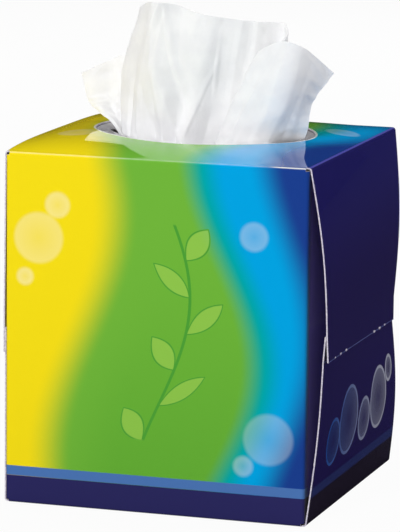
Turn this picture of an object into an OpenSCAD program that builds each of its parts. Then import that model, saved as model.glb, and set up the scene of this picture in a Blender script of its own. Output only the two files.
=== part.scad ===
// Upright tissue carton with a slit film under its opening and one tissue standing in the slit.
// Millimetres, +Z up. The origin is the middle of the underside. The front panel faces -Y, and the
// glued end closures face -X and +X.

/* [Carton] */
// Width across the front panel
box_w = 112; // [106:1:125]
// Depth from front panel to back panel
box_d = 112; // [106:1:125]
// Height of the folds round the top panel
box_h = 126; // [122:1:140]
// Thickness of the folding boxboard
card_t = 0.5; // [0.35:0.05:0.7]
// Outside radius of every fold
fold_r = 1.2; // [0.9:0.1:2]
// Height that the top panel is pushed up in its middle
top_bow = 3.2; // [0.5:0.1:5]
// Height that the left end fold is pushed up in its middle
left_lift = 1.6; // [0.2:0.1:2.5]
// Height of the glue seam inside the back panel
seam_h = 15; // [8:1:25]

/* [End closures] */
// Length of an upper flap, from the top fold down to its cut edge
upper_flap = 72; // [62:1:80]
// Height over which an upper flap is glued on the lower one
flap_lap = 9; // [6:1:16]
// How much higher the right end's lap lies at the front than at the back
flap_skew = 4.5; // [0:0.5:6]
// How far the lap stands off at the front corner of the right end
corner_lift = 6; // [0.5:0.5:9]
// How far the right end's flaps belly out at the back
right_belly = 1.8; // [0.4:0.2:3]
// How far the left end's flaps belly out in the middle
left_belly = 0.8; // [0.2:0.2:3]
// Length of the dust flaps on the front and back panels
dust_l = 44; // [25:1:50]
// Taper of each long edge of a dust flap
dust_taper = 7; // [1:1:15]
// Room that the glue leaves between two layers of card, or card and film
glue_gap = 0.2; // [0.15:0.05:0.3]

/* [Opening and film] */
// Length of the oval opening, along the front
opening_l = 80; // [74:1:88]
// Width of the oval opening, front to back
opening_w = 70; // [50:1:78]
// How far the film laps under the card round the opening
film_lap = 8; // [5:0.5:9]
// Thickness of the clear film
film_t = 0.15; // [0.1:0.05:0.3]
// How far the film sags in the middle of the opening
film_sag = 7; // [4:0.5:9]
// Length of the slit
slit_l = 72; // [60:1:73]
// Width to which the tissue holds the slit open
slit_w = 15; // [12:0.5:20]

/* [Tissue pack] */
// Clearance from the pack to the dust flaps
pack_gap_x = 4; // [1:0.5:6]
// Clearance from the pack to the front and back panels
pack_gap_y = 2; // [1:0.5:4]
// Room from the pack's crown up to the level of the top folds
headspace = 14; // [10:1:24]
// Width of the cleft between the two legs of the bent clip
cleft_w = 1.6; // [0.8:0.1:4]

/* [Top tissue] */
// Thickness of the tissue, three plies with their loft
tissue_t = 0.4; // [0.3:0.05:0.5]
// Height of the tissue's peak above the top folds
rise = 50; // [40:1:60]
// Width of the standing tissue from wing tip to wing tip
plume_w = 96; // [86:1:104]
// Depth of the standing tissue, front to back
plume_d = 32; // [28:1:40]
// Depth of the small pleats at the neck
pleat = 0.6; // [0.2:0.1:0.8]
// Number of small pleats across the tissue
pleats = 11; // [7:1:13]
// Clearance from the tissue to the film and to the pack
neck_gap = 0.4; // [0.3:0.1:0.8]

/* [Hidden] */
$fn = 48;

// Half sizes of the flat stretch of the top and bottom panels, and of the front and back ones
flat_x = box_w / 2 - fold_r;
flat_y = box_d / 2 - fold_r;
wall_x = flat_x - card_t - glue_gap;
// Outer face of the dust flaps
dust_x = wall_x + fold_r;
// The cut edges of a closure: the upper flap ends at the bottom of the lap, the lower flap at its top
lap_bottom = box_h - upper_flap;
lap_top = lap_bottom + flap_lap;
// How far a piece of card that carries on into the next one reaches into it
bite = card_t / 2;
// Steps of the folded sheets
top_steps = 18;
depth_steps = 16;
flap_steps = 5;
fold_steps = 3;
film_steps = 60;
film_rings = 5;
oval_steps = 72;
tissue_cols = 96;
tissue_rows = 16;

// A sheet between two grids of points. Seen with its columns running right and its rows running away,
// the first grid is the near face. A closed sheet joins its last column to its first. The right half
// of the columns is split into triangles as the mirror of the left half.
module sheet(near, far, closed = false) {
    rows = len(near);
    cols = len(near[0]);
    last = rows - 1;
    edge = cols - 1;
    turns = closed ? edge : edge - 1;
    function id(side, j, i) = (side * rows + j) * cols + i % cols;
    function split(i, q) = 2 * i < edge
        ? [[q[0], q[1], q[2]], [q[0], q[2], q[3]]]
        : [[q[1], q[2], q[3]], [q[1], q[3], q[0]]];
    polyhedron([for (grid = [near, far], row = grid) each row], concat(
        [for (j = [0:last - 1], i = [0:turns])
            each split(i, [id(0, j, i), id(0, j + 1, i), id(0, j + 1, i + 1), id(0, j, i + 1)])],
        [for (j = [0:last - 1], i = [0:turns])
            each split(i, [id(1, j, i), id(1, j, i + 1), id(1, j + 1, i + 1), id(1, j + 1, i)])],
        [for (i = [0:turns])
            each split(i, [id(0, 0, i), id(0, 0, i + 1), id(1, 0, i + 1), id(1, 0, i)])],
        [for (i = [0:turns])
            each split(i, [id(0, last, i), id(1, last, i), id(1, last, i + 1), id(0, last, i + 1)])],
        closed ? [] : [for (j = [0:last - 1])
            each split(0, [id(0, j, 0), id(1, j, 0), id(1, j + 1, 0), id(0, j + 1, 0)])],
        closed ? [] : [for (j = [0:last - 1])
            each split(edge, [id(0, j, edge), id(0, j + 1, edge), id(1, j + 1, edge), id(1, j, edge)])]),
        convexity = 8);
}

// Runs a (Y, Z) profile along X, and an (X, Z) profile along Y, centred on the origin
module along_x(length) translate([-length / 2, 0, 0]) rotate([90, 0, 90]) linear_extrude(length) children();
module along_y(length) translate([0, length / 2, 0]) rotate([90, 0, 0]) linear_extrude(length) children();

// Quarter round of folded card about the origin, in the first quadrant. At each end a tongue of half the
// card's thickness runs into the panel that the fold carries on into, so that both are one piece of card.
module fold_2d() {
    intersection() {
        difference() {
            circle(fold_r);
            circle(fold_r - card_t);
        }
        square(2 * fold_r);
    }
    for (flip = [0, 1]) mirror([flip, -flip]) translate([fold_r - 0.75 * card_t, -bite])
        square([card_t / 2, 2 * bite]);
}

// A bulge that is 1 in the middle of a panel and 0 at its folds
function pillow(s) = 1 - pow(s, 4);
// Rise of the left end fold, and the outer face of the top panel
function end_lift(y) = left_lift * pillow(y / flat_y);
function top_z(x, y) = box_h + top_bow * pillow(x / flat_x) * pillow(y / flat_y)
    + end_lift(y) * pow((flat_x - x) / (2 * flat_x), 2);

// How far a closure stands out; s runs from 0 at a fold to 1 at the lap. At the right end's front corner
// the flaps lean out to the lap, the upper one more rounded; elsewhere they belly out between fold and lap.
lower_curve = 0.1;
upper_curve = 0.25;
function to_front(y) = (flat_y - y) / (2 * flat_y);
function stand_out(side, y, s, curve) = let (belly = sin(180 * s)) side > 0
    ? corner_lift * to_front(y) * (s + curve * belly) + right_belly * (1 - to_front(y)) * belly
    : left_belly * pillow(y / flat_y) * belly;

// One face of an end closure at depth y, from the bottom fold up to the top panel, as (out, z) points.
// inset is 0 on the outer face and the card's thickness on the inner one. Outside, the card steps out
// where the upper flap ends, and inside where the lower flap ends.
function closure_face(side, y, inset) = let (
    skew = side > 0 ? flap_skew * to_front(y) : 0,
    low = lap_bottom + skew,
    high = lap_top + skew,
    at_lap = stand_out(side, y, 1, 0)) concat(
    [for (i = [0:flap_steps], s = i / flap_steps)
        [stand_out(side, y, s, lower_curve) - inset, fold_r + s * (low - fold_r)]],
    [inset == 0 ? [at_lap + card_t, low] : [at_lap - inset, high]],
    [for (i = [0:flap_steps], s = 1 - i / flap_steps)
        [stand_out(side, y, s, upper_curve) + card_t * s - inset,
            box_h - fold_r - s * (box_h - fold_r - high)]],
    [for (i = [1:fold_steps], a = 90 * i / fold_steps)
        [(fold_r - inset) * cos(a) - fold_r, box_h - fold_r + (fold_r - inset) * sin(a)]]);

// One row of the sleeve at depth y: up the left closure, over the top panel and down the right closure
function sleeve_row(y, inset) = concat(
    [for (p = closure_face(-1, y, inset))
        [-box_w / 2 - p[0], y, p[1] + end_lift(y) * max(0, p[1] - lap_top) / (box_h - lap_top)]],
    [for (i = [1:top_steps - 1], x = flat_x * (2 * i / top_steps - 1)) [x, y, top_z(x, y) - inset]],
    let (right = closure_face(1, y, inset))
        [for (i = [len(right) - 1:-1:0]) [box_w / 2 + right[i][0], y, right[i][1]]]);
function sleeve(inset) = [for (j = [0:depth_steps]) sleeve_row(flat_y * (2 * j / depth_steps - 1), inset)];

// The back panel with its folds and its two dust flaps
module wall() {
    along_x(2 * wall_x) {
        translate([flat_y, box_h - fold_r]) fold_2d();
        translate([flat_y, fold_r]) mirror([0, 1]) fold_2d();
        translate([box_d / 2 - card_t, fold_r]) square([card_t, box_h - 2 * fold_r]);
    }
    for (side = [0, 1]) mirror([side, 0, 0]) {
        translate([wall_x, flat_y, fold_r]) linear_extrude(box_h - 2 * fold_r) fold_2d();
        translate([dust_x - card_t / 2, 0, 0]) along_x(card_t) polygon([
            [flat_y, fold_r], [flat_y, box_h - fold_r],
            [box_d / 2 - dust_l, box_h - fold_r - dust_taper], [box_d / 2 - dust_l, fold_r + dust_taper]]);
    }
}

module bottom_panel() along_y(2 * flat_y) {
    translate([-flat_x, 0]) square([2 * flat_x, card_t]);
    for (side = [0, 1]) mirror([side, 0]) translate([flat_x, fold_r]) mirror([0, 1]) fold_2d();
}

module oval(length, width) polygon([for (i = [0:oval_steps - 1], a = 360 * i / oval_steps)
    [length / 2 * cos(a), width / 2 * sin(a)]]);

module carton() color("limegreen") {
    difference() {
        sheet(sleeve(0), sleeve(card_t));
        translate([0, 0, box_h - fold_r]) linear_extrude(fold_r + 2 * (top_bow + left_lift))
            oval(opening_l, opening_w);
    }
    wall();
    mirror([0, 1, 0]) wall();
    bottom_panel();
    translate([-wall_x, box_d / 2 - 2 * card_t, card_t - bite])
        cube([2 * wall_x, card_t + bite, seam_h - card_t + bite]);
}

// Outline of the film as a rounded rectangle, and the slit as an oval, both by angle
film_l = opening_l + 2 * film_lap;
film_w = opening_w + 2 * film_lap;
film_corner = 0.35;
function squared(c) = sign(c) * pow(abs(c), film_corner);
function film_edge(a) = [film_l / 2 * squared(cos(a)), film_w / 2 * squared(sin(a))];
function slit_edge(a) = [slit_l / 2 * cos(a), slit_w / 2 * sin(a)];
// The film hangs from the rim of the opening like a shallow dish
function from_rim(p) = max(0, 1 - pow(2 * p[0] / opening_l, 2) - pow(2 * p[1] / opening_w, 2));
function film_z(p) = top_z(p[0], p[1]) - card_t - glue_gap - film_sag * from_rim(p);
function film_face(inset) = [for (j = [0:film_rings], k = j / film_rings)
    [for (i = [0:film_steps - 1], a = -360 * (i + 0.5) / film_steps)
        let (p = (1 - k) * slit_edge(a) + k * film_edge(a)) [p[0], p[1], film_z(p) - inset]]];

module film() color("whitesmoke", 0.5) sheet(film_face(0), film_face(film_t), closed = true);

// The clip bent over a small cleft: two legs under a half-round crown, standing on the bottom panel
pack_r = box_d / 2 - 2 * card_t - pack_gap_y;
crown_z = box_h - headspace;
leg_h = crown_z - pack_r - card_t;

module tissue_pack() color("white") along_x(2 * (dust_x - card_t - pack_gap_x)) difference() {
    union() {
        translate([-pack_r, card_t]) square([2 * pack_r, leg_h]);
        intersection() {
            translate([0, card_t + leg_h]) circle(pack_r, $fn = 96);
            translate([-pack_r, card_t + leg_h]) square(2 * pack_r);
        }
    }
    translate([-cleft_w / 2, 0]) square([cleft_w, card_t + leg_h]);
    translate([0, card_t + leg_h]) circle(cleft_w / 2);
}

// The standing tissue from its left edge to its right edge. The left wing runs in behind the middle, folds
// back to the left limb and crosses the front. At the right limb the sheet folds forwards on itself and then
// on again, so that the right wing overlaps the front. At the neck a point is a share of the slit's half
// length and of the half width that is free there. Higher up it is a share of half the plume's width, of
// half its depth and of its rise, which counts from the film at the belly and then from the top folds.
neck_line = [
    [-0.94, 0.75], [-0.87, 0.95], [-0.72, 0.95], [-0.47, 0.90], [-0.33, 0.55],
    [-0.50, 0.15], [-0.78, -0.30], [-0.66, -0.80], [-0.42, -0.92], [-0.22, -0.92],
    [-0.02, -0.65], [0.26, 0.15], [0.53, 0.65], [0.69, 0.50], [0.55, 0.05],
    [0.35, -0.20], [0.19, -0.60], [0.36, -0.92], [0.67, -0.90], [0.93, -0.30]];
belly_line = [
    [-0.88, 0.32, 0.08], [-0.79, 0.48, 0.10], [-0.64, 0.58, 0.12], [-0.42, 0.55, 0.15],
    [-0.28, 0.35, 0.16], [-0.42, 0.00, 0.15], [-0.66, -0.32, 0.07], [-0.56, -0.62, 0.06],
    [-0.37, -0.76, 0.08], [-0.15, -0.76, 0.11], [0.06, -0.60, 0.14], [0.28, -0.15, 0.18],
    [0.48, 0.25, 0.17], [0.58, 0.12, 0.16], [0.45, -0.25, 0.17], [0.27, -0.50, 0.15],
    [0.17, -0.76, 0.13], [0.32, -0.90, 0.11], [0.57, -0.85, 0.09], [0.80, -0.20, 0.08]];
mid_line = [
    [-0.98, 0.44, 0.21], [-0.83, 0.63, 0.26], [-0.65, 0.75, 0.30], [-0.38, 0.63, 0.34],
    [-0.25, 0.31, 0.38], [-0.42, 0.02, 0.42], [-0.66, -0.22, 0.44], [-0.58, -0.56, 0.44],
    [-0.35, -0.75, 0.44], [-0.10, -0.70, 0.44], [0.12, -0.45, 0.44], [0.34, -0.15, 0.46],
    [0.54, 0.10, 0.50], [0.62, -0.05, 0.50], [0.54, -0.35, 0.46], [0.42, -0.55, 0.40],
    [0.33, -0.80, 0.37], [0.49, -0.95, 0.37], [0.73, -0.90, 0.38], [0.81, 0.10, 0.31]];
top_line = [
    [-1.06, 0.63, 0.40], [-0.90, 0.81, 0.48], [-0.73, 0.94, 0.55], [-0.42, 0.81, 0.62],
    [-0.25, 0.44, 0.70], [-0.33, 0.13, 0.84], [-0.44, -0.19, 0.95], [-0.35, -0.47, 1.00],
    [-0.19, -0.58, 0.98], [0.02, -0.55, 0.92], [0.22, -0.40, 0.89], [0.42, -0.20, 0.87],
    [0.60, 0.00, 0.86], [0.65, -0.15, 0.82], [0.61, -0.35, 0.72], [0.54, -0.55, 0.67],
    [0.47, -0.75, 0.66], [0.62, -0.88, 0.74], [0.83, -0.85, 0.73], [0.98, 0.10, 0.53]];
// The sheet below the neck draws in to this share of the neck where it enters the pack
foot_share = 0.8;
function at_neck(p) = let (
    x = p[0] * slit_l / 2,
    y = p[1] * (slit_w / 2 * sqrt(1 - p[0] * p[0]) - pleat - neck_gap - tissue_t / 2)) [x, y, film_z([x, y])];
function at_foot(p) = [at_neck(p)[0] * foot_share, at_neck(p)[1] * foot_share, crown_z + neck_gap];
function spread(p, base) = [p[0] * plume_w / 2, p[1] * plume_d / 2, base + p[2] * rise];
tissue_lines = [
    [for (p = neck_line) at_foot(p)],
    [for (p = neck_line) at_neck(p)],
    [for (p = belly_line) spread(p, film_z(spread(p, 0)))],
    [for (p = mid_line) spread(p, box_h)],
    [for (p = top_line) spread(p, box_h)]];

// Smooth curve through a list of points, with s from 0 to 1
function through(list, s) = let (
    n = len(list) - 1, k = min(floor(s * n), n - 1), t = s * n - k,
    a = list[max(k - 1, 0)], b = list[k], c = list[k + 1], d = list[min(k + 2, n)])
    b + t * ((c - a) + t * ((2 * a - 5 * b + 4 * c - d) + t * (3 * (b - c) + d - a))) / 2;
function tissue_mid(u, v) = through([for (line = tissue_lines) through(line, u)], v);
function unit(p) = p / norm(p);
function tissue_normal(u, v) = let (e = 0.004)
    unit(cross(tissue_mid(min(1, u + e), v) - tissue_mid(max(0, u - e), v),
        tissue_mid(u, min(1, v + e)) - tissue_mid(u, max(0, v - e))));
// Share of the way from the neck up to the top edge
neck_v = 1 / (len(tissue_lines) - 1);
function climb(v) = max(0, v - neck_v) / (1 - neck_v);
// Uneven small pleats run up from the neck and are nearly gone at the top edge
function pleated(u, k) = pleat * (1 + 0.4 * sin(180 * k) - 0.6 * k) * (0.65 + 0.35 * sin(612 * u + 60))
    * sin(360 * (pleats * u + 0.2 * sin(540 * u)));
// Creases of the standing part: where each lies across the sheet at its foot and at its head, the widths of
// its left and right flanks, its height, and the shares of the climb at its foot and its head. Each fades
// in over crease_in and out over crease_out. A valley has a negative height.
crease_in = 0.15;
crease_out = 0.25;
creases = [
    [0.430, 0.345, 0.035, 0.045, 1.3, 0.40, 1.25], [0.345, 0.350, 0.022, 0.022, -0.8, 0.15, 0.85],
    [0.464, 0.450, 0.035, 0.022, 1.4, 0.06, 0.60], [0.490, 0.494, 0.018, 0.030, 1.3, 0.06, 0.50],
    [0.530, 0.518, 0.050, 0.050, -0.8, 0.30, 1.25], [0.946, 0.947, 0.030, 0.018, 1.2, 0.05, 1.25],
    [0.910, 0.905, 0.020, 0.020, -0.7, 0.05, 0.70]];
function ramp(s) = max(0, min(1, s));
function crease_rise(c, u, k) = let (
    off = u - c[0] - (c[1] - c[0]) * ramp((k - c[5]) / (c[6] - c[5])),
    flank = ramp(1 - abs(off) / (off < 0 ? c[2] : c[3])))
    c[4] * flank * ramp((k - c[5]) / crease_in) * ramp((c[6] - k) / crease_out);
function creased(u, k) = [for (c = creases) crease_rise(c, u, k)] * [for (c = creases) 1];
function tissue_face(out) = [for (j = [0:tissue_rows], v = j / tissue_rows, k = climb(v))
    [for (i = [0:tissue_cols], u = i / tissue_cols)
        tissue_mid(u, v) + tissue_normal(u, v) * (pleated(u, k) + creased(u, k) + out * tissue_t / 2)]];

module top_tissue() color("white") sheet(tissue_face(1), tissue_face(-1));

carton();
film();
tissue_pack();
top_tissue();
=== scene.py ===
import math

import bmesh
import bpy
import numpy as np
from mathutils import Matrix, Vector, noise


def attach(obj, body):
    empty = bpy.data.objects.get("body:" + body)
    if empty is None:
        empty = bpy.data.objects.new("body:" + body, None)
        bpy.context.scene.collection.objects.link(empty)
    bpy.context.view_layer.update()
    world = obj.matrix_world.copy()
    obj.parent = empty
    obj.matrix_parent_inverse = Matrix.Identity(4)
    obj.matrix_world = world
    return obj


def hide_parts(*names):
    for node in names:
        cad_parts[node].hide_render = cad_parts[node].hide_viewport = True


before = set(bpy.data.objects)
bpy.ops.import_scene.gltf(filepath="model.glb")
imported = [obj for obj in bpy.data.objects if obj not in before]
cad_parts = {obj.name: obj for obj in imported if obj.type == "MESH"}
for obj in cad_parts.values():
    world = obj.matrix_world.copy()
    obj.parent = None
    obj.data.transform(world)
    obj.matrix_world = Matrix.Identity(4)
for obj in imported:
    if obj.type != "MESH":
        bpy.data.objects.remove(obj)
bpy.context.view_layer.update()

# The view
# A long lens stands to the right of the front and a little above the top, so that the front panel, the
# domed top and the right end closure all show. Its place and turn were fitted to the carton's corners.
scene = bpy.context.scene
scene.view_settings.view_transform = "Standard"
frame_height_px = 532
focal_length_px = 3833
sensor = 36.0
view_place = Vector((0.4177, -1.2995, 0.3187))
turn, height, roll = (math.radians(a) for a in (17.88, 9.94, 0.59))
back = Vector((math.sin(turn) * math.cos(height), -math.cos(turn) * math.cos(height), math.sin(height)))
level = Vector((math.cos(turn), math.sin(turn), 0.0))
upright = back.cross(level)
right = math.cos(roll) * level + math.sin(roll) * upright
up = math.cos(roll) * upright - math.sin(roll) * level

camera = bpy.data.objects.new("camera", bpy.data.cameras.new("camera"))
scene.collection.objects.link(camera)
camera.data.sensor_width = sensor
camera.data.lens = focal_length_px * sensor / frame_height_px
camera.matrix_world = Matrix.Translation(view_place) @ Matrix((right, up, back)).transposed().to_4x4()
scene.camera = camera

# The carton
# One die-cut blank of folding boxboard, printed and varnished outside and grey inside. The front, top, back
# and bottom panels make a loop; at each end the upper flap is glued over the lower one, and two dust flaps
# stand behind them. Sizes are in millimetres, as on the blank's drawing.
mm = 0.001
box_w, box_d, box_h = 112.0, 112.0, 126.0
card_t, fold_r, glue_gap = 0.5, 1.2, 0.2
top_bow, left_lift = 3.2, 1.6
upper_flap, flap_lap, flap_skew = 72.0, 9.0, 4.5
corner_lift, right_belly, left_belly = 6.0, 1.8, 0.8
lower_curve, upper_curve, lap_gap = 0.1, 0.25, 0.05
lap_spring, spring_power, lower_give, upper_give = 1.2, 6, 0.6, 0.4
dust_l, dust_taper = 44.0, 7.0
seam_h = 15.0
opening_l, opening_w = 80.0, 70.0
flat_x, flat_y = box_w / 2 - fold_r, box_d / 2 - fold_r
wall_x = flat_x - card_t - glue_gap
dust_x = wall_x + fold_r
lap_bottom = box_h - upper_flap
lap_top = lap_bottom + flap_lap


def pillow(s):
    """A bulge that is 1 in the middle of a panel and 0 at its folds."""
    return 1 - s ** 4


def end_lift(y):
    """How far the left edge of the top panel is pushed up."""
    return left_lift * pillow(y / flat_y)


def top_z(x, y):
    """The outer face of the domed top panel."""
    dome = top_bow * pillow(x / flat_x) * pillow(y / flat_y)
    return box_h + dome + end_lift(y) * ((flat_x - x) / (2 * flat_x)) ** 2


def to_front(y):
    """0 at the back panel and 1 at the front one."""
    return (flat_y - y) / (2 * flat_y)


def stand_out(side, y, s, curve=0.0):
    """How far an end flap stands out of its plane; s runs from 0 at its fold to 1 at the lap."""
    belly = np.sin(np.pi * s)
    if side > 0:
        return corner_lift * to_front(y) * (s + curve * belly) + right_belly * (1 - to_front(y)) * belly
    return left_belly * pillow(y / flat_y) * belly


def cut_z(side, y):
    """The cut edge of an upper flap. The right flap lies askew."""
    return lap_bottom + (flap_skew * to_front(y) if side > 0 else 0)


class Sheet:
    """A flat sheet as it is folded up: grids of points, in millimetres, with their places on the flat sheet.
    A grid's rows and columns turn so that rows cross columns points outwards."""

    weld_gap = 0.01 * mm

    def __init__(self):
        self.mesh = bmesh.new()
        self.flat_place = self.mesh.loops.layers.uv.new("blank")

    def panel(self, points, places, closed=False):
        rows, cols = points.shape[:2]
        grid = [[self.mesh.verts.new(p * mm) for p in row] for row in points]
        for j in range(rows - 1):
            for i in range(cols if closed else cols - 1):
                corners = [(j, i), (j + 1, i), (j + 1, (i + 1) % cols), (j, (i + 1) % cols)]
                face = self.mesh.faces.new([grid[a][b] for a, b in corners])
                for loop, (a, b) in zip(face.loops, corners):
                    loop[self.flat_place].uv = places[a, b]

    def as_piece(self, name, thickness, inwards=True):
        """The folded sheet as one object, thickened inwards or to both sides, with its inside and its cut
        edges in the second and third material."""
        bmesh.ops.remove_doubles(self.mesh, verts=self.mesh.verts, dist=self.weld_gap)
        mesh = bpy.data.meshes.new(name)
        self.mesh.to_mesh(mesh)
        self.mesh.free()
        piece = bpy.data.objects.new(name, mesh)
        scene.collection.objects.link(piece)
        solid = piece.modifiers.new("thickness", "SOLIDIFY")
        solid.thickness = thickness * mm
        solid.offset = -1 if inwards else 0
        solid.use_even_offset = True
        solid.material_offset = 1
        solid.material_offset_rim = 2
        return piece


def made_plain(piece, sharp_deg=40):
    """Turns a piece with its modifiers into one plain mesh, smooth but for its sharp edges."""
    bpy.context.view_layer.update()
    finished = bpy.data.meshes.new_from_object(piece.evaluated_get(bpy.context.evaluated_depsgraph_get()))
    piece.modifiers.clear()
    piece.data = finished
    finished.name = piece.name
    finished.shade_smooth()
    finished.set_sharp_from_angle(angle=math.radians(sharp_deg))


def grid_of(rows, cols, place):
    """A grid of points or print places from a rule on each row and column value."""
    return np.array([[place(r, c) for c in cols] for r in rows], float)


wall_steps, depth_steps, fold_steps, top_rings = 56, 48, 8, 22
flap_steps, lap_steps, dust_steps = 14, 4, 24
inner_x = np.linspace(-wall_x, wall_x, wall_steps + 1)
across = np.concatenate([[-flat_x], inner_x, [flat_x]])
depth = np.linspace(-flat_y, flat_y, depth_steps + 1)
bend = np.linspace(0, np.pi / 2, fold_steps + 1)
wall_z = np.linspace(fold_r, box_h - fold_r, wall_steps + 1)
blank = Sheet()

# The top panel runs in rings from the oval opening out to its four folds.
edge = [(x, -flat_y) for x in across[:-1]] + [(flat_x, y) for y in depth[:-1]]
edge += [(x, flat_y) for x in across[:0:-1]] + [(-flat_x, y) for y in depth[:0:-1]]
edge = np.array(edge)
edge_angle = np.arctan2(edge[:, 1] / flat_y, edge[:, 0] / flat_x)
oval = np.stack([opening_l / 2 * np.cos(edge_angle), opening_w / 2 * np.sin(edge_angle)], 1)
top_ring = np.linspace(0, 1, top_rings + 1)[:, None, None]
top_plan = oval * (1 - top_ring) + edge * top_ring
top_points = np.concatenate([top_plan, top_z(top_plan[..., 0], top_plan[..., 1])[..., None]], 2)
blank.panel(top_points, top_plan + (0, box_h + box_d / 2), closed=True)

# The front and back panels, with the folds along their top and bottom.
profile = [(-flat_y - fold_r * math.sin(a), fold_r - fold_r * math.cos(a)) for a in bend[:-1]]
profile += [(-box_d / 2, z) for z in wall_z]
profile += [(-flat_y - fold_r * math.cos(a), box_h - fold_r + fold_r * math.sin(a)) for a in bend[1:]]


def on_front_print(x, spot):
    y, z = spot
    round_fold = y + box_d / 2
    return (x, z + round_fold if z > box_h / 2 else z - round_fold)


def on_back_print(x, spot):
    return (x, 2 * box_h + box_d - spot[1])


blank.panel(grid_of(inner_x, profile, lambda x, spot: (x, spot[0], spot[1])),
            grid_of(inner_x, profile, on_front_print))
blank.panel(grid_of(inner_x[::-1], profile, lambda x, spot: (x, -spot[0], spot[1])),
            grid_of(inner_x[::-1], profile, on_back_print))

# The bottom panel, and the glue seam that lies inside the foot of the back panel.
blank.panel(grid_of(depth, across, lambda y, x: (x, y, 0)),
            grid_of(depth, across, lambda y, x: (x, -y - box_d / 2)))
seam_y = box_d / 2 - card_t - lap_gap
seam_z = (card_t + lap_gap, seam_h)
blank.panel(grid_of(inner_x[::-1], seam_z, lambda x, z: (x, seam_y, z)),
            grid_of(inner_x[::-1], seam_z, lambda x, z: (x, -box_d - z)))

# The end closures: a lower flap from the bottom panel, and an upper flap from the top panel over it. Along
# a flap, s goes from its fold to the lap and h up the lap. The lap has sprung open at the right front corner.
share = np.linspace(0, 1, flap_steps + 1)
lap_share = np.linspace(0, 1, lap_steps + 1)
lower_run = [(s, 0) for s in share] + [(1, h) for h in lap_share[1:]]
upper_run = [(1, h) for h in lap_share[:-1]] + [(s, 1) for s in share[::-1]]


def fold_end(side):
    """Folds up the two flaps of the right (1) or left (-1) end."""

    def corner_spring(y):
        return lap_spring * to_front(y) ** spring_power if side > 0 else 0

    def lifted(y, z):
        return z + (end_lift(y) * max(0, z - lap_top) / (box_h - lap_top) if side < 0 else 0)

    def lower_point(y, run):
        s, h = run
        out = stand_out(side, y, s, lower_curve) - lower_give * corner_spring(y) * s ** 3 * (1 - h)
        return (side * (box_w / 2 + out), y, fold_r + s * (cut_z(side, y) - fold_r) + h * flap_lap)

    def upper_point(y, run):
        s, h = run
        out = stand_out(side, y, s, upper_curve) + (card_t + lap_gap) * s
        out += upper_give * corner_spring(y) * (1 - h)
        z = box_h - fold_r - s * (box_h - fold_r - cut_z(side, y) - flap_lap) - (1 - h) * flap_lap
        return (side * (box_w / 2 + out), y, lifted(y, z))

    def bottom_fold(y, a):
        return (side * (flat_x + fold_r * math.sin(a)), y, fold_r - fold_r * math.cos(a))

    def top_fold(y, a):
        z = box_h - fold_r + fold_r * math.sin(a)
        return (side * (flat_x + fold_r * math.cos(a)), y, lifted(y, z))

    rows = depth[::side]
    lower = np.concatenate([grid_of(rows, bend[:-1], bottom_fold), grid_of(rows, lower_run, lower_point)], 1)
    upper = np.concatenate([grid_of(rows, upper_run, upper_point), grid_of(rows, bend[1:], top_fold)], 1)
    blank.panel(lower, np.stack([
        side * (box_w / 2 + lower[..., 2]), -lower[..., 1] - box_d / 2], 2))
    blank.panel(upper, np.stack([
        side * (box_w / 2 + (box_h - upper[..., 2])), box_h + upper[..., 1] + box_d / 2], 2))


for side in (1, -1):
    fold_end(side)

# The four dust flaps, folded in from the ends of the front and back panels. The colours of those panels
# fade out over the first part of them: dust_ink gives places on a flap and their places on the print.
end_ink_from, end_ink_to = box_w / 2 - 0.6, box_w / 2 + 0.4
dust_ink = ((-1, 0, 0.1, 1), (wall_x, end_ink_from, end_ink_to, box_w / 2 + dust_l))
dust_run = np.concatenate([np.linspace(-1, 0, fold_steps + 1), np.linspace(0, 1, dust_steps + 1)[1:]])


def fold_dust(side, face):
    """Folds in the dust flap at one end of the front (-1) or back (1) panel."""

    def dust_point(run, z):
        if run <= 0:
            a = (1 + run) * math.pi / 2
            return (side * (wall_x + fold_r * math.sin(a)), face * (flat_y + fold_r * math.cos(a)), z)
        inward = run * (dust_l - fold_r)
        middle = box_h / 2
        narrowed = middle + (z - middle) * (1 - run * dust_taper / (middle - fold_r))
        return (side * dust_x, face * (flat_y - inward), narrowed)

    runs = dust_run if side * face < 0 else dust_run[::-1]
    flap = grid_of(runs, wall_z, dust_point)
    print_x = np.interp(runs, *dust_ink)[:, None] + 0 * wall_z
    print_along = flap[..., 2] if face < 0 else 2 * box_h + box_d - flap[..., 2]
    blank.panel(flap, np.stack([side * print_x, print_along], 2))


for side in (1, -1):
    for face in (-1, 1):
        fold_dust(side, face)
carton = blank.as_piece("folded_carton", card_t)


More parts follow.
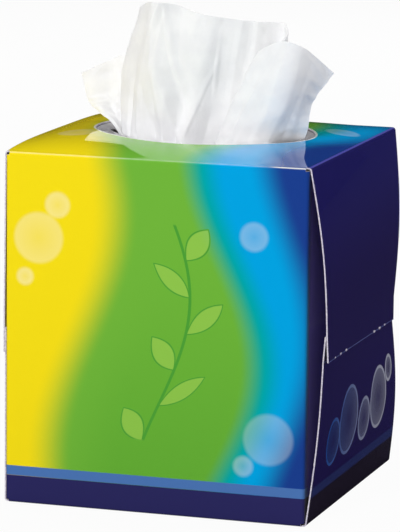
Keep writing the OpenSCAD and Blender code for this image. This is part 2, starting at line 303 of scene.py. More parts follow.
class Value:
    """A number or colour on a surface. Sums on it add Math nodes to its tree, and node() any other node."""

    def __init__(self, tree, socket=None):
        self.tree, self.socket = tree, socket

    def node(self, kind, settings=None, sockets=None, out=0):
        made = self.tree.nodes.new(kind)
        for name, setting in (settings or {}).items():
            setattr(made, name, setting)
        for name, value in (sockets or {}).items():
            if isinstance(value, Value):
                self.tree.links.new(value.socket, made.inputs[name])
            else:
                made.inputs[name].default_value = value
        return Value(self.tree, made.outputs[out])

    def math(self, operation, *others):
        values = (self, *others)
        return self.node("ShaderNodeMath", {"operation": operation}, dict(enumerate(values)))

    def __add__(self, other):
        return self.math("ADD", other)

    def __sub__(self, other):
        return self.math("SUBTRACT", other)

    def __rsub__(self, other):
        return (-self).math("ADD", other)

    def __mul__(self, other):
        return self.math("MULTIPLY", other)

    def __truediv__(self, other):
        return self.math("DIVIDE", other)

    def __neg__(self):
        return self.math("MULTIPLY", -1.0)

    def __abs__(self):
        return self.math("ABSOLUTE")

    __radd__ = __add__
    __rmul__ = __mul__

    def sin(self):
        return self.math("SINE")

    def larger(self, other):
        return self.math("MAXIMUM", other)

    def smaller(self, other):
        return self.math("MINIMUM", other)

    def step(self, low, high):
        """0 below low, 1 above high and a soft step between them."""
        return self.node("ShaderNodeMapRange", {"interpolation_type": "SMOOTHSTEP"},
                         {"Value": self, "From Min": low, "From Max": high})

    def blend(self, first, second):
        """The first colour where this is 0, the second where it is 1."""
        return self.node("ShaderNodeMix", {"data_type": "RGBA"}, {0: self, 6: first, 7: second}, out=2)

    def over(self, colour, cover):
        """This colour with another laid over it."""
        return cover.blend(self, colour)

    def parts(self):
        return [self.node("ShaderNodeSeparateXYZ", {}, {0: self}, out=i) for i in range(3)]

    def place(self):
        """Where a point lies on its piece, in metres."""
        return self.node("ShaderNodeTexCoord", out="Object")

    def noise(self, place, scale, detail=2.0, roughness=0.5):
        return self.node("ShaderNodeTexNoise", {}, {
            "Vector": place, "Scale": scale, "Detail": detail, "Roughness": roughness})

    def bump(self, amount, distance):
        return self.node("ShaderNodeBump", {}, {"Height": self, "Strength": amount, "Distance": distance})

    def feed(self, shader, name):
        self.tree.links.new(self.socket, shader.inputs[name])


def linear(c):
    """One channel of a screen colour, 0 to 1, as a shader counts it."""
    return c / 12.92 if c <= 0.04045 else ((c + 0.055) / 1.055) ** 2.4


def ink(r, g, b):
    """A colour as it looks on the screen, 0 to 255, for a shader."""
    return (linear(r / 255), linear(g / 255), linear(b / 255), 1.0)


def new_finish(name, constants):
    """A material, its shader with the constant sockets set, and a Value to start sums from."""
    finish = bpy.data.materials.new(name)
    finish.use_nodes = True
    shader = finish.node_tree.nodes["Principled BSDF"]
    for socket, value in constants.items():
        shader.inputs[socket].default_value = value
    return finish, shader, Value(finish.node_tree)


def dress(piece, outside, inside, cut):
    """Gives a sheet the finishes of its outside, its inside and its cut edges."""
    for finish in (outside, inside, cut):
        piece.data.materials.append(finish)


# The print: four soft-edged fields of colour that run in waves from the front over the top to the back,
# a leaf sprig on the green field, pale discs, and a dark band with a light line round the foot.
printed, shader, start = new_finish("printed_card", {
    "Coat Weight": 1.0, "Coat Roughness": 0.04, "Coat IOR": 1.5, "Specular IOR Level": 0.0})
across_mm, along_mm, _ = start.node("ShaderNodeUVMap", {"uv_map": "blank"}).parts()
place_m = start.place()
x_mm, depth_mm, height_mm = (part * 1000 for part in place_m.parts())
right_end = across_mm.step(end_ink_from, end_ink_to)
any_end = abs(across_mm).step(end_ink_from, end_ink_to)


def wave(middle, swing, length, shift):
    """A line up the blank that swings from side to side."""
    return ((along_mm - shift) * (2 * math.pi / length)).sin() * swing + middle


def field_from(line, soft):
    """1 to the right of a line, with a soft edge."""
    return (across_mm - line).step(-soft, soft)


def apart(a, b):
    """How far two offsets at right angles lead."""
    return (a * a + b * b).math("SQRT")


yellow, green, deep_green = ink(246, 222, 22), ink(112, 181, 58), ink(92, 168, 50)
teal, cyan = ink(0, 168, 150), ink(0, 163, 226)
# The last is navy lightened as painted light, for the upper part of the right end.
royal, navy, painted_lit_navy = ink(27, 62, 142), ink(31, 21, 82), ink(38, 36, 108)
lime_line = wave(middle=-27.0, swing=12.0, length=172.0, shift=62.0)
cyan_line = wave(middle=28.0, swing=12.0, length=152.0, shift=16.0)
royal_line = wave(middle=47.0, swing=9.0, length=152.0, shift=26.0)
shade_foot, shade_head, shade_w, shade_cover = 10.0, 110.0, 14.0, 0.6
teal_lead, cyan_lag = 4, 3
low_on_green = (1 - along_mm.step(shade_foot, shade_head)) * field_from(lime_line + shade_w, soft=shade_w)
colour = field_from(lime_line, soft=9.0).blend(yellow, green)
colour = colour.over(deep_green, low_on_green * shade_cover)
colour = colour.over(teal, field_from(cyan_line - teal_lead, soft=5.0))
colour = colour.over(cyan, field_from(cyan_line + cyan_lag, soft=6.0))
colour = colour.over(royal, field_from(royal_line, soft=7.0))

# The sprig: one stem, with leaves in turn to its left and right, each a pointed oval with a darker rim.
# The length of the stem is cut into cells with one leaf in each.
leaf_pitch, leaf_l, leaf_half, leaf_turn = 13.0, 17.0, 3.6, math.radians(46)
sprig_foot, sprig_head, stem_half = 26.0, 104.0, 0.55
rim_from, rim_to, ink_soft, leaf_cover = 0.35, 0.7, 0.15, 0.75
off_stem = across_mm - wave(middle=2.0, swing=11.0, length=150.0, shift=40.0)
cell = along_mm / leaf_pitch
left_or_right = cell.math("FLOOR").math("MODULO", 2.0) * 2 - 1
up_cell = cell.math("FRACT") * leaf_pitch
off_root = off_stem * left_or_right
on_leaf = (off_root * math.sin(leaf_turn) + up_cell * math.cos(leaf_turn)) / leaf_l
beside = abs(off_root * math.cos(leaf_turn) - up_cell * math.sin(leaf_turn))
in_leaf = on_leaf * (1 - on_leaf) * (4 * leaf_half) - beside
on_sprig = along_mm.step(sprig_foot, sprig_foot + 1) * (1 - along_mm.step(sprig_head - 1, sprig_head))
stem = (stem_half - abs(off_stem)).step(-ink_soft, ink_soft) * on_sprig
leaf = in_leaf.step(-ink_soft, ink_soft) * on_sprig
leaf_rim = leaf * (1 - in_leaf.step(rim_from, rim_to))
colour = colour.over(ink(150, 201, 80), leaf * leaf_cover)
colour = colour.over(ink(76, 158, 54), leaf_rim.larger(stem))

# Soft discs of light, each brighter to its rim: (across, along, radius, share of white).
disc_soft, disc_heart = 0.9, 0.5
for disc_x, disc_w, disc_r, pale in ((-43, 96, 9, 0.2), (-36, 108, 4.5, 0.26), (-48, 82, 3, 0.3),
                                     (36, 101, 5, 0.2), (42, 30, 9, 0.16), (33, 20, 3.5, 0.24),
                                     (-40, 158, 7, 0.2), (45, 204, 6, 0.2)):
    off = apart(across_mm - disc_x, along_mm - disc_w)
    bright = off / disc_r * (1 - disc_heart) + disc_heart
    disc = (1 - off.step(disc_r - disc_soft, disc_r + disc_soft)) * bright * pale
    colour = colour.over(ink(255, 255, 250), disc)

# The right end is one dark field. Painted light makes it lighter to its top, and a paler painted ink lifts
# its dust flaps out of the shade they lie in. A row of bubbles lies along its foot, paler to the back:
# (depth, height, radius).
painted_lit_from, painted_lit_to, painted_lit_cover = 75.0, 128.0, 0.8
behind_to, clear_from = dust_x + 0.05, dust_x + 0.3
colour = colour.over(navy, right_end)
# Painted light: the navy turns lighter toward the top of the right end.
colour = colour.over(painted_lit_navy, right_end * height_mm.step(painted_lit_from, painted_lit_to) * painted_lit_cover)
# Painted light on the dust flaps: a paler violet ink lifts them out of the shade behind the upper flap.
painted_light_on_dust = right_end * (1 - x_mm.step(behind_to, clear_from)) * along_mm.step(0.0, 1.0)
colour = colour.over(ink(82, 66, 186), painted_light_on_dust)
bubble_line, bubble_soft, bubble_heart, bubble_swell = 0.8, 0.4, 0.1, 0.3
bubble_reach, bubble_cover = 45.0, 0.85
bubble_ink = depth_mm.step(-bubble_reach, bubble_reach).blend(ink(34, 84, 160), ink(186, 188, 204))
for bubble_y, bubble_z, bubble_r in ((-33, 26, 8), (-13, 30, 12), (9, 26, 7.5), (29, 30, 11), (44, 38, 4.5)):
    off = apart(depth_mm - bubble_y, height_mm - bubble_z)
    rim = 1 - abs(off - bubble_r).step(bubble_soft, bubble_line)
    fill = (1 - off.step(bubble_r - bubble_soft, bubble_r)) * (off / bubble_r * bubble_swell + bubble_heart)
    colour = colour.over(bubble_ink, rim.larger(fill) * right_end * bubble_cover)

# The band and the line round the foot.
foot_line_low, foot_line_high, foot_soft, end_dimming = 10.2, 13.4, 0.3, 0.86
above_band = height_mm.step(foot_line_low - foot_soft, foot_line_low)
on_line = above_band * (1 - height_mm.step(foot_line_high, foot_line_high + foot_soft))
band = 1 - above_band
colour = colour.over(ink(76, 117, 180), on_line * (1 - any_end * end_dimming))
colour = colour.over(ink(44, 42, 94), band)
colour = colour.over(ink(34, 27, 44), band * any_end)

# Pale lines along the creases of the top panel: on the front crease the ink is partly worn and partly a
# painted highlight of the fold, brightest at the right; on the end creases the pale line is a painted
# highlight. The bleached core shows as a thin line round the cut opening and along the cut edge of the right
# flap.
crease_off, crease_core, front_crease_w, end_crease_w = 0.1, 0.1, 0.55, 0.3
burr_core, burr_w, rim_core, rim_w = 0.2, 0.45, 0.35, 0.75
least_highlight_and_wear, patchy_highlight_and_wear, right_painted_highlight, right_highlight_from, right_highlight_to = 0.14, 0.1, 0.6, 40.0, 45.0
end_painted_highlight, cut_wear, rim_wear = 0.22, 0.4, 0.8
grain = start.noise(place_m, scale=900.0, detail=3.0)
patches = start.noise(place_m, scale=160.0)
swell = start.noise(place_m, scale=60.0)
front_crease = 1 - abs(along_mm - (box_h + crease_off)).step(crease_core, front_crease_w)
front_highlight_and_wear = patches.step(0.3, 0.62) * patchy_highlight_and_wear + least_highlight_and_wear
# The extra pale at the right of the front crease is a painted highlight of the fold.
front_highlight_and_wear = front_highlight_and_wear + across_mm.step(right_highlight_from, right_highlight_to) * right_painted_highlight
end_crease = 1 - abs(abs(across_mm) - box_w / 2 - crease_off).step(crease_core, end_crease_w)
end_crease = end_crease * height_mm.step(box_h - 6, box_h - 2)
above_cut = height_mm - lap_bottom - (flat_y - depth_mm) * (flap_skew / (2 * flat_y))
cut_burr = above_cut.step(-0.1, 0.0) * (1 - above_cut.step(burr_core, burr_w)) * right_end * (1 - painted_light_on_dust)
from_middle = apart(across_mm / (opening_l / 2), (along_mm - box_h - box_d / 2) / (opening_w / 2))
opening_rim = 1 - ((from_middle - 1) * (opening_w / 2)).step(rim_core, rim_w)
# A paler navy along the end creases is a painted highlight of the fold; along the cut edge of the right flap
# it is the bleached core.
colour = colour.over(ink(128, 142, 206), (end_crease * end_painted_highlight).larger(cut_burr * cut_wear))
# The pale line along the front crease is partly worn ink and partly a painted highlight of the fold; round
# the opening it is the bleached core.
wear_and_highlight = (front_crease * front_highlight_and_wear).larger(opening_rim * rim_wear)
colour = colour.over(ink(250, 250, 236), wear_and_highlight * grain.step(0.1, 0.4))
colour.feed(shader, "Base Color")
least_rough, patchy_rough, swell_share, grain_share = 0.34, 0.12, 0.6, 0.03
(patches * patchy_rough + least_rough).feed(shader, "Roughness")
(swell * swell_share + grain * grain_share).bump(amount=0.25, distance=0.0006).feed(shader, "Normal")

# The inside of the board is grey reclaimed fibre, and the cut edges show its bleached core.
grey_board, shader, start = new_finish("grey_board", {"Roughness": 0.85})
flecks = start.noise(start.place(), scale=700.0, detail=4.0, roughness=0.7)
flecks.step(0.35, 0.7).blend(ink(178, 172, 163), ink(208, 203, 194)).feed(shader, "Base Color")
flecks.bump(amount=0.3, distance=0.0002).feed(shader, "Normal")
cut_board, shader, start = new_finish("cut_board", {"Roughness": 0.8})
fibres = start.noise(start.place(), scale=1500.0, detail=3.0)
fibres.step(0.3, 0.7).blend(ink(186, 178, 198), ink(222, 217, 226)).feed(shader, "Base Color")

dress(carton, printed, grey_board, cut_board)
made_plain(carton)
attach(carton, "root")
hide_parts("carton")

# The nibs
# Scraps of torn board where the die leaves a sheet held until it is pulled free: three and three on the cut
# edge of each upper flap, and a ring of small ones round the oval where the tear-out was.
nick_first, nick_pitch, nicks = {-1: 25.4, 1: 21.0}, 9.0, 3
nick_size, nick_up, nick_seed = (0.7, 2.0, 0.8), 0.25, 3
rim_nibs, rim_nib_size, rim_nib_seed = 28, (0.5, 1.1, 0.45), 5
ragged, smallest, largest = 0.12, 0.7, 1.15


def new_tree(name, inputs):
    """A Geometry Nodes tree with named inputs: the tree, its input sockets and a Value for each of them."""
    tree = bpy.data.node_groups.new(name, "GeometryNodeTree")
    sockets = {}
    for label, kind in inputs.items():
        sockets[label] = tree.interface.new_socket(label, in_out="INPUT", socket_type="NodeSocket" + kind)
    tree.interface.new_socket("Geometry", in_out="OUTPUT", socket_type="NodeSocketGeometry")
    given = tree.nodes.new("NodeGroupInput").outputs
    return tree, sockets, [Value(tree, given[label]) for label in inputs]


def grow(piece, tree, sockets, settings):
    """Puts a tree on a piece, with its inputs set."""
    grown = piece.modifiers.new(tree.name, "NODES")
    grown.node_group = tree
    for label, setting in settings.items():
        grown[sockets[label].identifier] = setting


nib_tree, nib_sockets, (spots, nib_size, nib_seed) = new_tree(
    "torn_nibs", {"Geometry": "Geometry", "Nib size": "Vector", "Seed": "Int"})
start = Value(nib_tree)
scrap = start.node("GeometryNodeMeshIcoSphere", {}, {"Radius": 0.5, "Subdivisions": 2})
tear = start.node("FunctionNodeRandomValue", {"data_type": "FLOAT_VECTOR"}, {
    0: (-ragged, -ragged, -ragged), 1: (ragged, ragged, ragged), "Seed": nib_seed})
torn = start.node("GeometryNodeSetPosition", {}, {"Geometry": scrap, "Offset": tear})
sized = start.node("GeometryNodeTransform", {}, {"Geometry": torn, "Scale": nib_size})
facing = start.node("GeometryNodeInputNamedAttribute", {"data_type": "FLOAT_VECTOR"}, {"Name": "turn"})
varied = start.node("FunctionNodeRandomValue", {"data_type": "FLOAT"}, {
    2: smallest, 3: largest, "Seed": nib_seed}, out=1)
placed = start.node("GeometryNodeInstanceOnPoints", {}, {
    "Points": spots, "Instance": sized, "Rotation": facing, "Scale": varied})
real_nibs = start.node("GeometryNodeRealizeInstances", {}, {"Geometry": placed})
dressed_nibs = start.node("GeometryNodeSetMaterial", {}, {"Geometry": real_nibs, "Material": cut_board})
dressed_nibs.feed(nib_tree.nodes.new("NodeGroupOutput"), "Geometry")


def torn_nibs(name, places, turns, size, seed):
    """Torn nibs at the places given, each turned about Z."""
    host = bpy.data.meshes.new(name)
    host.from_pydata([Vector(p) * mm for p in places], [], [])
    turned = host.attributes.new("turn", "FLOAT_VECTOR", "POINT")
    turned.data.foreach_set("vector", [v for t in turns for v in (0.0, 0.0, t)])
    piece = bpy.data.objects.new(name, host)
    scene.collection.objects.link(piece)
    grow(piece, nib_tree, nib_sockets, {"Nib size": [s * mm for s in size], "Seed": seed})
    made_plain(piece)
    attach(piece, "root")


nick_y = [face * (nick_first[face] + k * nick_pitch) for face in (-1, 1) for k in range(nicks)]
for side, name in ((1, "right_flap_nicks"), (-1, "left_flap_nicks")):
    nick_x = [side * (box_w / 2 + stand_out(side, y, 1.0) + card_t + lap_gap) for y in nick_y]
    on_cut = [(x, y, cut_z(side, y) + nick_up) for x, y in zip(nick_x, nick_y)]
    torn_nibs(name, on_cut, [0] * len(on_cut), nick_size, nick_seed)
rim_angle = [2 * math.pi * (k + 0.5) / rim_nibs for k in range(rim_nibs)]
on_rim = [(opening_l / 2 * math.cos(a), opening_w / 2 * math.sin(a)) for a in rim_angle]
torn_nibs("opening_nibs", [(x, y, top_z(x, y) - card_t / 2) for x, y in on_rim],
          [math.atan2(y / opening_w ** 2, x / opening_l ** 2) for x, y in on_rim], rim_nib_size, rim_nib_seed)

# The film
# A sheet of clear film glued under the top panel round the opening. One slit runs along its middle. The
# film sags into the box, and the tissue that stands in the slit holds its lips apart.
film_lap, film_t, film_sag = 8.0, 0.15, 7.0
slit_l, slit_w, film_corner = 72.0, 15.0, 0.35
film_l, film_w = opening_l + 2 * film_lap, opening_w + 2 * film_lap
film_rings, film_steps = 24, 160


def squared(c):
    """A sine or cosine whose circle is drawn out into a rounded square."""
    return np.sign(c) * np.abs(c) ** film_corner


def film_z(x, y):
    """The film hangs from the rim of the opening like a shallow dish."""
    from_rim = np.maximum(0, 1 - (2 * x / opening_l) ** 2 - (2 * y / opening_w) ** 2)
    return top_z(x, y) - card_t - glue_gap - film_sag * from_rim


film_angle = 2 * np.pi * (np.arange(film_steps) + 0.5) / film_steps
film_edge = np.stack([film_l / 2 * squared(np.cos(film_angle)), film_w / 2 * squared(np.sin(film_angle))], 1)
slit_edge = np.stack([slit_l / 2 * np.cos(film_angle), slit_w / 2 * np.sin(film_angle)], 1)
film_ring = np.linspace(0, 1, film_rings + 1)[:, None, None]
film_plan = slit_edge * (1 - film_ring) + film_edge * film_ring
film_points = np.concatenate([film_plan, film_z(film_plan[..., 0], film_plan[..., 1])[..., None]], 2)
film_sheet = Sheet()
film_sheet.panel(film_points, film_plan, closed=True)
film = film_sheet.as_piece("slit_film", film_t)
clear_film, shader, start = new_finish("clear_film", {"Roughness": 0.06})
ripples = start.noise(start.place(), scale=45.0, detail=1.0)
crests = ripples.step(0.3, 0.7)
least_veil, crest_veil = 0.56, 0.06
crests.blend(ink(212, 210, 214), ink(224, 223, 226)).feed(shader, "Base Color")
(crests * crest_veil + least_veil).feed(shader, "Alpha")
ripples.bump(amount=0.4, distance=0.0012).feed(shader, "Normal")
dress(film, clear_film, clear_film, clear_film)
made_plain(film)
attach(film, "root")
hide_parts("film")

# The tissue pack
# The interfolded clip of tissues, bent into an upside-down U and stood in the carton on its two ends. The
# leaves nest round each other, with their folded edges showing at both ends of the pack.
pack_gap_x, pack_gap_y, headspace, cleft_w = 4.0, 2.0, 14.0, 1.6
pack_r = box_d / 2 - 2 * card_t - pack_gap_y
pack_l = 2 * (dust_x - card_t - pack_gap_x)
crown_z = box_h - headspace
leg_h = crown_z - pack_r - card_t
leaves, leaf_rows, leaf_cols = 44, 40, 2
leaf_step = (pack_r - cleft_w / 2) / leaves
ply_share, leg_share, uneven_cut, cut_seed = 0.86, 0.22, 0.9, 11
folded_tissue, shader, start = new_finish("folded_tissue", {"Roughness": 0.95})
place_m = start.place()
clouds = start.noise(place_m, scale=300.0, detail=4.0)
clouds.step(0.3, 0.7).blend(ink(222, 222, 224), ink(244, 244, 245)).feed(shader, "Base Color")
start.noise(place_m, scale=900.0, detail=3.0).bump(amount=0.3, distance=0.0003).feed(shader, "Normal")

# A row of flat leaves, one above another, is bent: each leaf's number gives the radius of its bend.
leaf_sizes = {"Leaf step": leaf_step, "Cleft": cleft_w, "Leg": leg_h, "Length": pack_l, "Floor": card_t}
leaf_tree, leaf_sockets, (count, thick, cleft, leg, length, ground_z) = new_tree(
    "nested_leaves", {"Leaves": "Int", **{label: "Float" for label in leaf_sizes}})
start = Value(leaf_tree)
flat_leaf = start.node("GeometryNodeMeshGrid", {}, {
    "Size X": 1.0, "Size Y": 1.0, "Vertices X": leaf_cols + 1, "Vertices Y": leaf_rows + 1})
stack = start.node("GeometryNodeMeshLine", {}, {"Count": count, "Offset": (0.0, 0.0, 1.0)})
piled = start.node("GeometryNodeInstanceOnPoints", {}, {"Points": stack, "Instance": flat_leaf})
real_leaves = start.node("GeometryNodeRealizeInstances", {}, {"Geometry": piled})
along_x, around, number = start.node("GeometryNodeInputPosition").parts()
from_end = 0.5 - abs(around)
bent = ((around + 0.5 - leg_share) / (1 - 2 * leg_share)).larger(0.0).smaller(1.0) * math.pi
climbed = (from_end / leg_share).smaller(1.0) * leg
radius = cleft / 2 + (number + 1) * thick
cut_short = start.node("FunctionNodeRandomValue", {"data_type": "FLOAT"}, {
    2: 0.0, 3: uneven_cut, "ID": number, "Seed": cut_seed}, out=1)
leaf_place = start.node("ShaderNodeCombineXYZ", {}, {
    0: along_x * (length - 2 * cut_short) * mm,
    1: radius * bent.math("COSINE") * -mm,
    2: (ground_z + climbed + radius * bent.sin()) * mm})
nested = start.node("GeometryNodeSetPosition", {}, {"Geometry": real_leaves, "Position": leaf_place})
dressed_leaves = start.node("GeometryNodeSetMaterial", {}, {"Geometry": nested, "Material": folded_tissue})
dressed_leaves.feed(leaf_tree.nodes.new("NodeGroupOutput"), "Geometry")

pack = bpy.data.objects.new("tissue_clip", bpy.data.meshes.new("tissue_clip"))
scene.collection.objects.link(pack)
grow(pack, leaf_tree, leaf_sockets, {"Leaves": leaves, **leaf_sizes})
ply = pack.modifiers.new("ply", "SOLIDIFY")
ply.thickness = leaf_step * ply_share * mm
ply.offset = -1
made_plain(pack)
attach(pack, "root")
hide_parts("tissue_pack")

# The standing tissue
# The upper half of the first tissue, three plies of crepe tissue, drawn up through the slit and left
# standing. It is gathered at the neck, and its folds fan out from there to the cut top edge.
tissue_t, rise, plume_w, plume_d = 0.4, 50.0, 96.0, 32.0
pleat, pleats, neck_gap, foot_share = 0.6, 11, 0.4, 0.8
tissue_cols, tissue_rows = 500, 96

# Four lines along the sheet, from its left edge to its right one: shares of the slit at the neck, and of the
# plume's half width, half depth and rise above the film (belly) or the box (middle and top edge).
neck_line = np.array([
    [-0.94, 0.75], [-0.87, 0.95], [-0.72, 0.95], [-0.47, 0.90], [-0.33, 0.55],
    [-0.50, 0.15], [-0.78, -0.30], [-0.66, -0.80], [-0.42, -0.92], [-0.22, -0.92],
    [-0.02, -0.65], [0.26, 0.15], [0.53, 0.65], [0.69, 0.50], [0.55, 0.05],
    [0.35, -0.20], [0.19, -0.60], [0.36, -0.92], [0.67, -0.90], [0.93, -0.30]])
belly_line = np.array([
    [-0.88, 0.32, 0.08], [-0.79, 0.48, 0.10], [-0.64, 0.58, 0.12], [-0.42, 0.55, 0.15],
    [-0.28, 0.35, 0.16], [-0.42, 0.00, 0.15], [-0.60, -0.32, 0.06], [-0.52, -0.62, 0.04],
    [-0.37, -0.76, 0.04], [-0.15, -0.76, 0.04], [0.06, -0.60, 0.05], [0.28, -0.15, 0.12],
    [0.48, 0.25, 0.15], [0.58, 0.12, 0.15], [0.45, -0.25, 0.14], [0.27, -0.50, 0.09],
    [0.17, -0.76, 0.05], [0.32, -0.90, 0.05], [0.57, -0.85, 0.05], [0.80, -0.20, 0.06]])
mid_line = np.array([
    [-0.98, 0.44, 0.21], [-0.83, 0.63, 0.26], [-0.65, 0.75, 0.30], [-0.38, 0.63, 0.34],
    [-0.27, 0.40, 0.38], [-0.45, 0.22, 0.42], [-0.68, 0.22, 0.45], [-0.52, -0.26, 0.46],
    [-0.35, -0.76, 0.46], [-0.10, -0.70, 0.44], [0.12, -0.45, 0.44], [0.34, -0.15, 0.46],
    [0.54, 0.10, 0.50], [0.62, -0.05, 0.50], [0.54, -0.35, 0.46], [0.47, -0.58, 0.40],
    [0.33, -0.80, 0.37], [0.49, -0.95, 0.37], [0.73, -0.90, 0.38], [0.85, -0.20, 0.31]])
top_line = np.array([
    [-1.06, 0.63, 0.40], [-0.90, 0.81, 0.48], [-0.73, 0.94, 0.55], [-0.42, 0.81, 0.62],
    [-0.26, 0.55, 0.70], [-0.36, 0.33, 0.81], [-0.52, 0.08, 0.91], [-0.36, -0.60, 0.99],
    [-0.19, -0.62, 0.98], [0.02, -0.55, 0.92], [0.22, -0.40, 0.89], [0.42, -0.20, 0.87],
    [0.60, 0.00, 0.86], [0.65, -0.15, 0.82], [0.61, -0.35, 0.72], [0.60, -0.60, 0.70],
    [0.485, -0.75, 0.68], [0.675, -0.88, 0.757], [0.83, -0.85, 0.73], [1.01, -0.20, 0.53]])
neck_x = neck_line[:, 0] * slit_l / 2
neck_free = slit_w / 2 * np.sqrt(1 - neck_line[:, 0] ** 2) - pleat - neck_gap - tissue_t / 2
neck_y = neck_line[:, 1] * neck_free
neck = np.stack([neck_x, neck_y, film_z(neck_x, neck_y)], 1)
foot = np.stack([neck_x * foot_share, neck_y * foot_share, np.full_like(neck_x, crown_z + neck_gap)], 1)
spread = np.array([plume_w / 2, plume_d / 2, rise])
belly = belly_line * spread
belly[:, 2] += film_z(belly[:, 0], belly[:, 1])
middle = mid_line * spread + (0, 0, box_h)
top_edge = top_line * spread + (0, 0, box_h)
tissue_lines = np.stack([foot, neck, belly, middle, top_edge])


def through(points, s):
    """A smooth curve through points along the first axis, at each share s from 0 to 1."""
    last = len(points) - 1
    k = np.minimum((s * last).astype(int), last - 1)
    t = (s * last - k).reshape((-1,) + (1,) * (points.ndim - 1))
    a, b = points[np.maximum(k - 1, 0)], points[k]
    c, d = points[k + 1], points[np.minimum(k + 2, last)]
    return b + t * ((c - a) + t * ((2 * a - 5 * b + 4 * c - d) + t * (3 * (b - c) + d - a))) / 2


u = np.linspace(0, 1, tissue_cols + 1)
v = np.linspace(0, 1, tissue_rows + 1)
surface = through(np.swapaxes(through(np.swapaxes(tissue_lines, 0, 1), u), 0, 1), v)
normal = np.cross(np.gradient(surface, axis=1), np.gradient(surface, axis=0))
normal /= np.linalg.norm(normal, axis=2, keepdims=True)
uu, vv = np.meshgrid(u, v)
neck_v = 1 / (len(tissue_lines) - 1)
climb = np.maximum(0, vv - neck_v) / (1 - neck_v)

# Pleats of uneven depth and spacing, deepest at the belly and flatter at the top edge.
pleat_belly, pleat_fade, pleat_odd, pleat_stray = 0.4, 0.6, 0.35, 0.2
odd_turn, odd_start, stray_turn = 612, 60, 540
uneven = 1 + pleat_belly * np.sin(np.pi * climb) - pleat_fade * climb
uneven *= 1 - pleat_odd + pleat_odd * np.sin(np.radians(odd_turn * uu + odd_start))
stray = pleat_stray * np.sin(np.radians(stray_turn * uu))
lift = pleat * uneven * np.sin(2 * np.pi * (pleats * uu + stray))

# Creases: where each lies across the sheet at its foot and at its head, the widths of its left and right
# flanks, its height in millimetres, and the shares of the climb at its foot and head. The first eight are
# the main ones; the rest are fine.
crease_in, crease_out = 0.15, 0.25
creases = [
    (0.479, 0.320, 0.030, 0.030, 1.8, 0.35, 1.35), (0.362, 0.372, 0.012, 0.014, -1.2, 0.20, 0.72),
    (0.456, 0.450, 0.014, 0.020, 2.4, 0.08, 0.66), (0.476, 0.500, 0.014, 0.034, 2.2, 0.08, 0.68),
    (0.492, 0.415, 0.016, 0.020, -0.5, 0.42, 1.20), (0.510, 0.497, 0.080, 0.065, 0.8, 0.62, 1.40),
    (0.946, 0.947, 0.030, 0.018, 1.0, 0.05, 1.25), (0.930, 0.908, 0.040, 0.030, 1.6, 0.40, 1.40),
    (0.405, 0.385, 0.006, 0.014, 0.6, 0.15, 1.25), (0.560, 0.548, 0.010, 0.014, 0.35, 0.20, 1.25),
    (0.590, 0.575, 0.008, 0.014, 0.3, 0.30, 1.25), (0.872, 0.890, 0.006, 0.012, 0.6, 0.10, 0.80),
    (0.930, 0.922, 0.008, 0.010, 0.5, 0.10, 0.60), (0.060, 0.080, 0.010, 0.016, 0.6, 0.15, 0.95),
    (0.110, 0.120, 0.010, 0.012, 0.5, 0.10, 0.80), (0.385, 0.400, 0.006, 0.010, 0.5, 0.12, 0.50),
    (0.975, 0.968, 0.008, 0.008, 0.4, 0.20, 0.90), (0.506, 0.416, 0.004, 0.010, 0.6, 0.20, 0.80),
    (0.463, 0.530, 0.010, 0.004, 0.6, 0.20, 0.80), (0.502, 0.355, 0.005, 0.012, 0.6, 0.50, 1.20),
    (0.452, 0.408, 0.004, 0.008, 0.5, 0.40, 0.95), (0.530, 0.515, 0.004, 0.006, 0.4, 0.55, 0.95)]
for low_u, high_u, left_flank, right_flank, crease_h, foot_k, head_k in creases:
    off = uu - low_u - (high_u - low_u) * np.clip((climb - foot_k) / (head_k - foot_k), 0, 1)
    flank = np.clip(1 - np.abs(off) / np.where(off < 0, left_flank, right_flank), 0, 1)
    fade = np.clip((climb - foot_k) / crease_in, 0, 1) * np.clip((head_k - climb) / crease_out, 0, 1)
    lift += crease_h * flank * fade

# Crumpling of the thin plies: heights in millimetres, how many lie across and up the sheet, how far the
# wrinkles slant, and the layer of the noise that each is taken from.
gather_h, gathers_across, gathers_up, gather_layer = 0.5, 34, 5, 0.3
wrinkle_h, wrinkles_across, wrinkles_up, wrinkle_layer = 0.9, 15, 9, 7.1
unrest_h, unrest_across, unrest_up, unrest_layer = 0.1, 90, 34, 2.7
slant_across, slant_up, wrinkle_level, crumple_from = 5, 4, 0.5, 0.25


def crumpled(a, b):
    """Soft gathers up the sheet, sharp slanting wrinkles and a fine unrest."""
    gathers = noise.noise(Vector((a * gathers_across, b * gathers_up, gather_layer)))
    across_slant, up_slant = a * wrinkles_across + b * slant_across, b * wrinkles_up - a * slant_up
    wrinkles = wrinkle_level - abs(noise.noise(Vector((across_slant, up_slant, wrinkle_layer))))
    unrest = noise.noise(Vector((a * unrest_across, b * unrest_up, unrest_layer)))
    return gather_h * gathers + wrinkle_h * wrinkles + unrest_h * unrest


crumple = np.array([[crumpled(a, b) for a in u] for b in v])
lift += crumple * np.clip(climb / crumple_from, 0, 1)
tissue_points = surface + normal * lift[..., None]

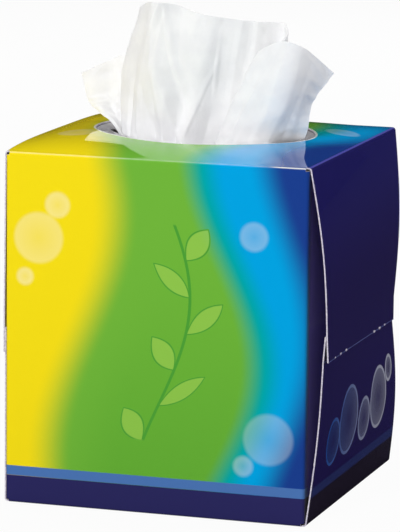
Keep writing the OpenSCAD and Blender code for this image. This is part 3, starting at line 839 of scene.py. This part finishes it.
# Where the sheet leans out over the film, it rests on it.
rest_gap, rest_from = 0.45, 0.08
tissue_x, tissue_y, tissue_z = np.moveaxis(tissue_points, 2, 0)
resting_z = film_z(tissue_x, tissue_y) + rest_gap * np.clip(climb / rest_from, 0, 1)
tissue_points[..., 2] = np.where(climb > 0, np.maximum(tissue_z, resting_z), tissue_z)
plume = Sheet()
sheet_place = np.stack([uu, vv], 2)
plume.panel(np.swapaxes(tissue_points, 0, 1)[::-1], np.swapaxes(sheet_place, 0, 1)[::-1])
tissue = plume.as_piece("standing_tissue", tissue_t, inwards=False)
crepe, shader, start = new_finish("tissue_paper", {
    "Roughness": 0.95, "Specular IOR Level": 0.1, "Subsurface Weight": 0.12, "Subsurface Scale": 1.0,
    "Subsurface Radius": (0.002, 0.002, 0.002)})
place_m = start.place()
fluff = start.noise(place_m, scale=1400.0, detail=4.0, roughness=0.65)
cloudy = start.noise(place_m, scale=130.0, detail=3.0)
cloudy.step(0.3, 0.7).blend(ink(237, 237, 239), ink(243, 243, 244)).feed(shader, "Base Color")
(fluff * 0.5 + cloudy).bump(amount=0.25, distance=0.0004).feed(shader, "Normal")
dress(tissue, crepe, crepe, crepe)
made_plain(tissue, sharp_deg=60)
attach(tissue, "root")
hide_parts("top_tissue")

# The set
# A pale floor and soft lamps. Dark cloth hangs round the set out of the picture: only reflections show it,
# so the print keeps its depth, and the white tissue shows in the top panel. Sizes are in metres.
floor_half, floor_paint, floor_white = 12.0, 0.45, 0.96
cloth_reach, cloth_foot, cloth_top = 1.6, 0.0004, 1.5
room_light = 0.23
square = ((-1, -1), (1, -1), (1, 1), (-1, 1))


def flat_mesh(name, corners, faces):
    """A plain piece of the set."""
    mesh = bpy.data.meshes.new(name)
    mesh.from_pydata(corners, [], faces)
    piece = bpy.data.objects.new(name, mesh)
    scene.collection.objects.link(piece)
    return piece


def seen(start):
    """1 for what the camera sees, also in the varnish and through the film, and 0 for light that falls."""
    camera_ray, glossy_ray, clear_ray = (
        start.node("ShaderNodeLightPath", out=ray)
        for ray in ("Is Camera Ray", "Is Glossy Ray", "Is Transmission Ray"))
    return camera_ray.larger(glossy_ray).larger(clear_ray)


floor = flat_mesh("floor", [(x * floor_half, y * floor_half, 0) for x, y in square], [(0, 1, 2, 3)])
floor_finish = bpy.data.materials.new("floor")
floor_finish.use_nodes = True
floor_nodes = floor_finish.node_tree.nodes
start = Value(floor_finish.node_tree)
paint = start.node("ShaderNodeBsdfDiffuse", {}, {"Color": (floor_paint, floor_paint, floor_paint, 1)})
glow = start.node("ShaderNodeEmission", {}, {"Color": (1, 1, 1, 1), "Strength": 1.0})
shown = start.node("ShaderNodeMixShader", {}, {0: seen(start) * floor_white, 1: paint, 2: glow})
shown.feed(floor_nodes["Material Output"], "Surface")
floor_nodes.remove(floor_nodes["Principled BSDF"])
floor.data.materials.append(floor_finish)

cloth_corners = [(x * cloth_reach, y * cloth_reach, z) for z in (cloth_foot, cloth_top) for x, y in square]
cloth_faces = [(0, 1, 2, 3), (0, 1, 5, 4), (1, 2, 6, 5), (2, 3, 7, 6), (3, 0, 4, 7)]
cloth = flat_mesh("dark_cloth", cloth_corners, cloth_faces)
dark, _, _ = new_finish("dark_cloth", {"Roughness": 1.0, "Base Color": (0.006, 0.006, 0.012, 1)})
cloth.data.materials.append(dark)
cloth.visible_camera = cloth.visible_diffuse = cloth.visible_shadow = cloth.visible_transmission = False

world = bpy.data.worlds.new("room")
world.use_nodes = True
scene.world = world
background = world.node_tree.nodes["Background"]
(seen(Value(world.node_tree)) * (1 - room_light) + room_light).feed(background, "Strength")
background.inputs["Color"].default_value = (1, 1, 1, 1)

# The lamps: name, place, size and power. The key lamp stands in front, the others above and to the back.
lamp_aim = Vector((0, 0, 0.12))
for name, lamp_place, lamp_size, power in (
        ("key_lamp", (-0.18, -1.49, 0.75), 0.3, 19.0), ("top_lamp", (0.15, 0.25, 1.2), 0.7, 4.0),
        ("right_lamp", (1.3, 0.75, 0.6), 0.6, 10.0), ("left_lamp", (-1.3, 0.75, 0.6), 0.6, 6.0),
        ("back_lamp", (-0.2, 1.5, 0.6), 0.6, 7.0)):
    lamp = bpy.data.lights.new(name, "AREA")
    lamp.shape, lamp.size, lamp.energy = "DISK", lamp_size, power
    held = bpy.data.objects.new(name, lamp)
    scene.collection.objects.link(held)
    held.visible_glossy = False
    to_box = (lamp_aim - Vector(lamp_place)).to_track_quat("-Z", "Y")
    held.matrix_world = Matrix.Translation(lamp_place) @ to_box.to_matrix().to_4x4()
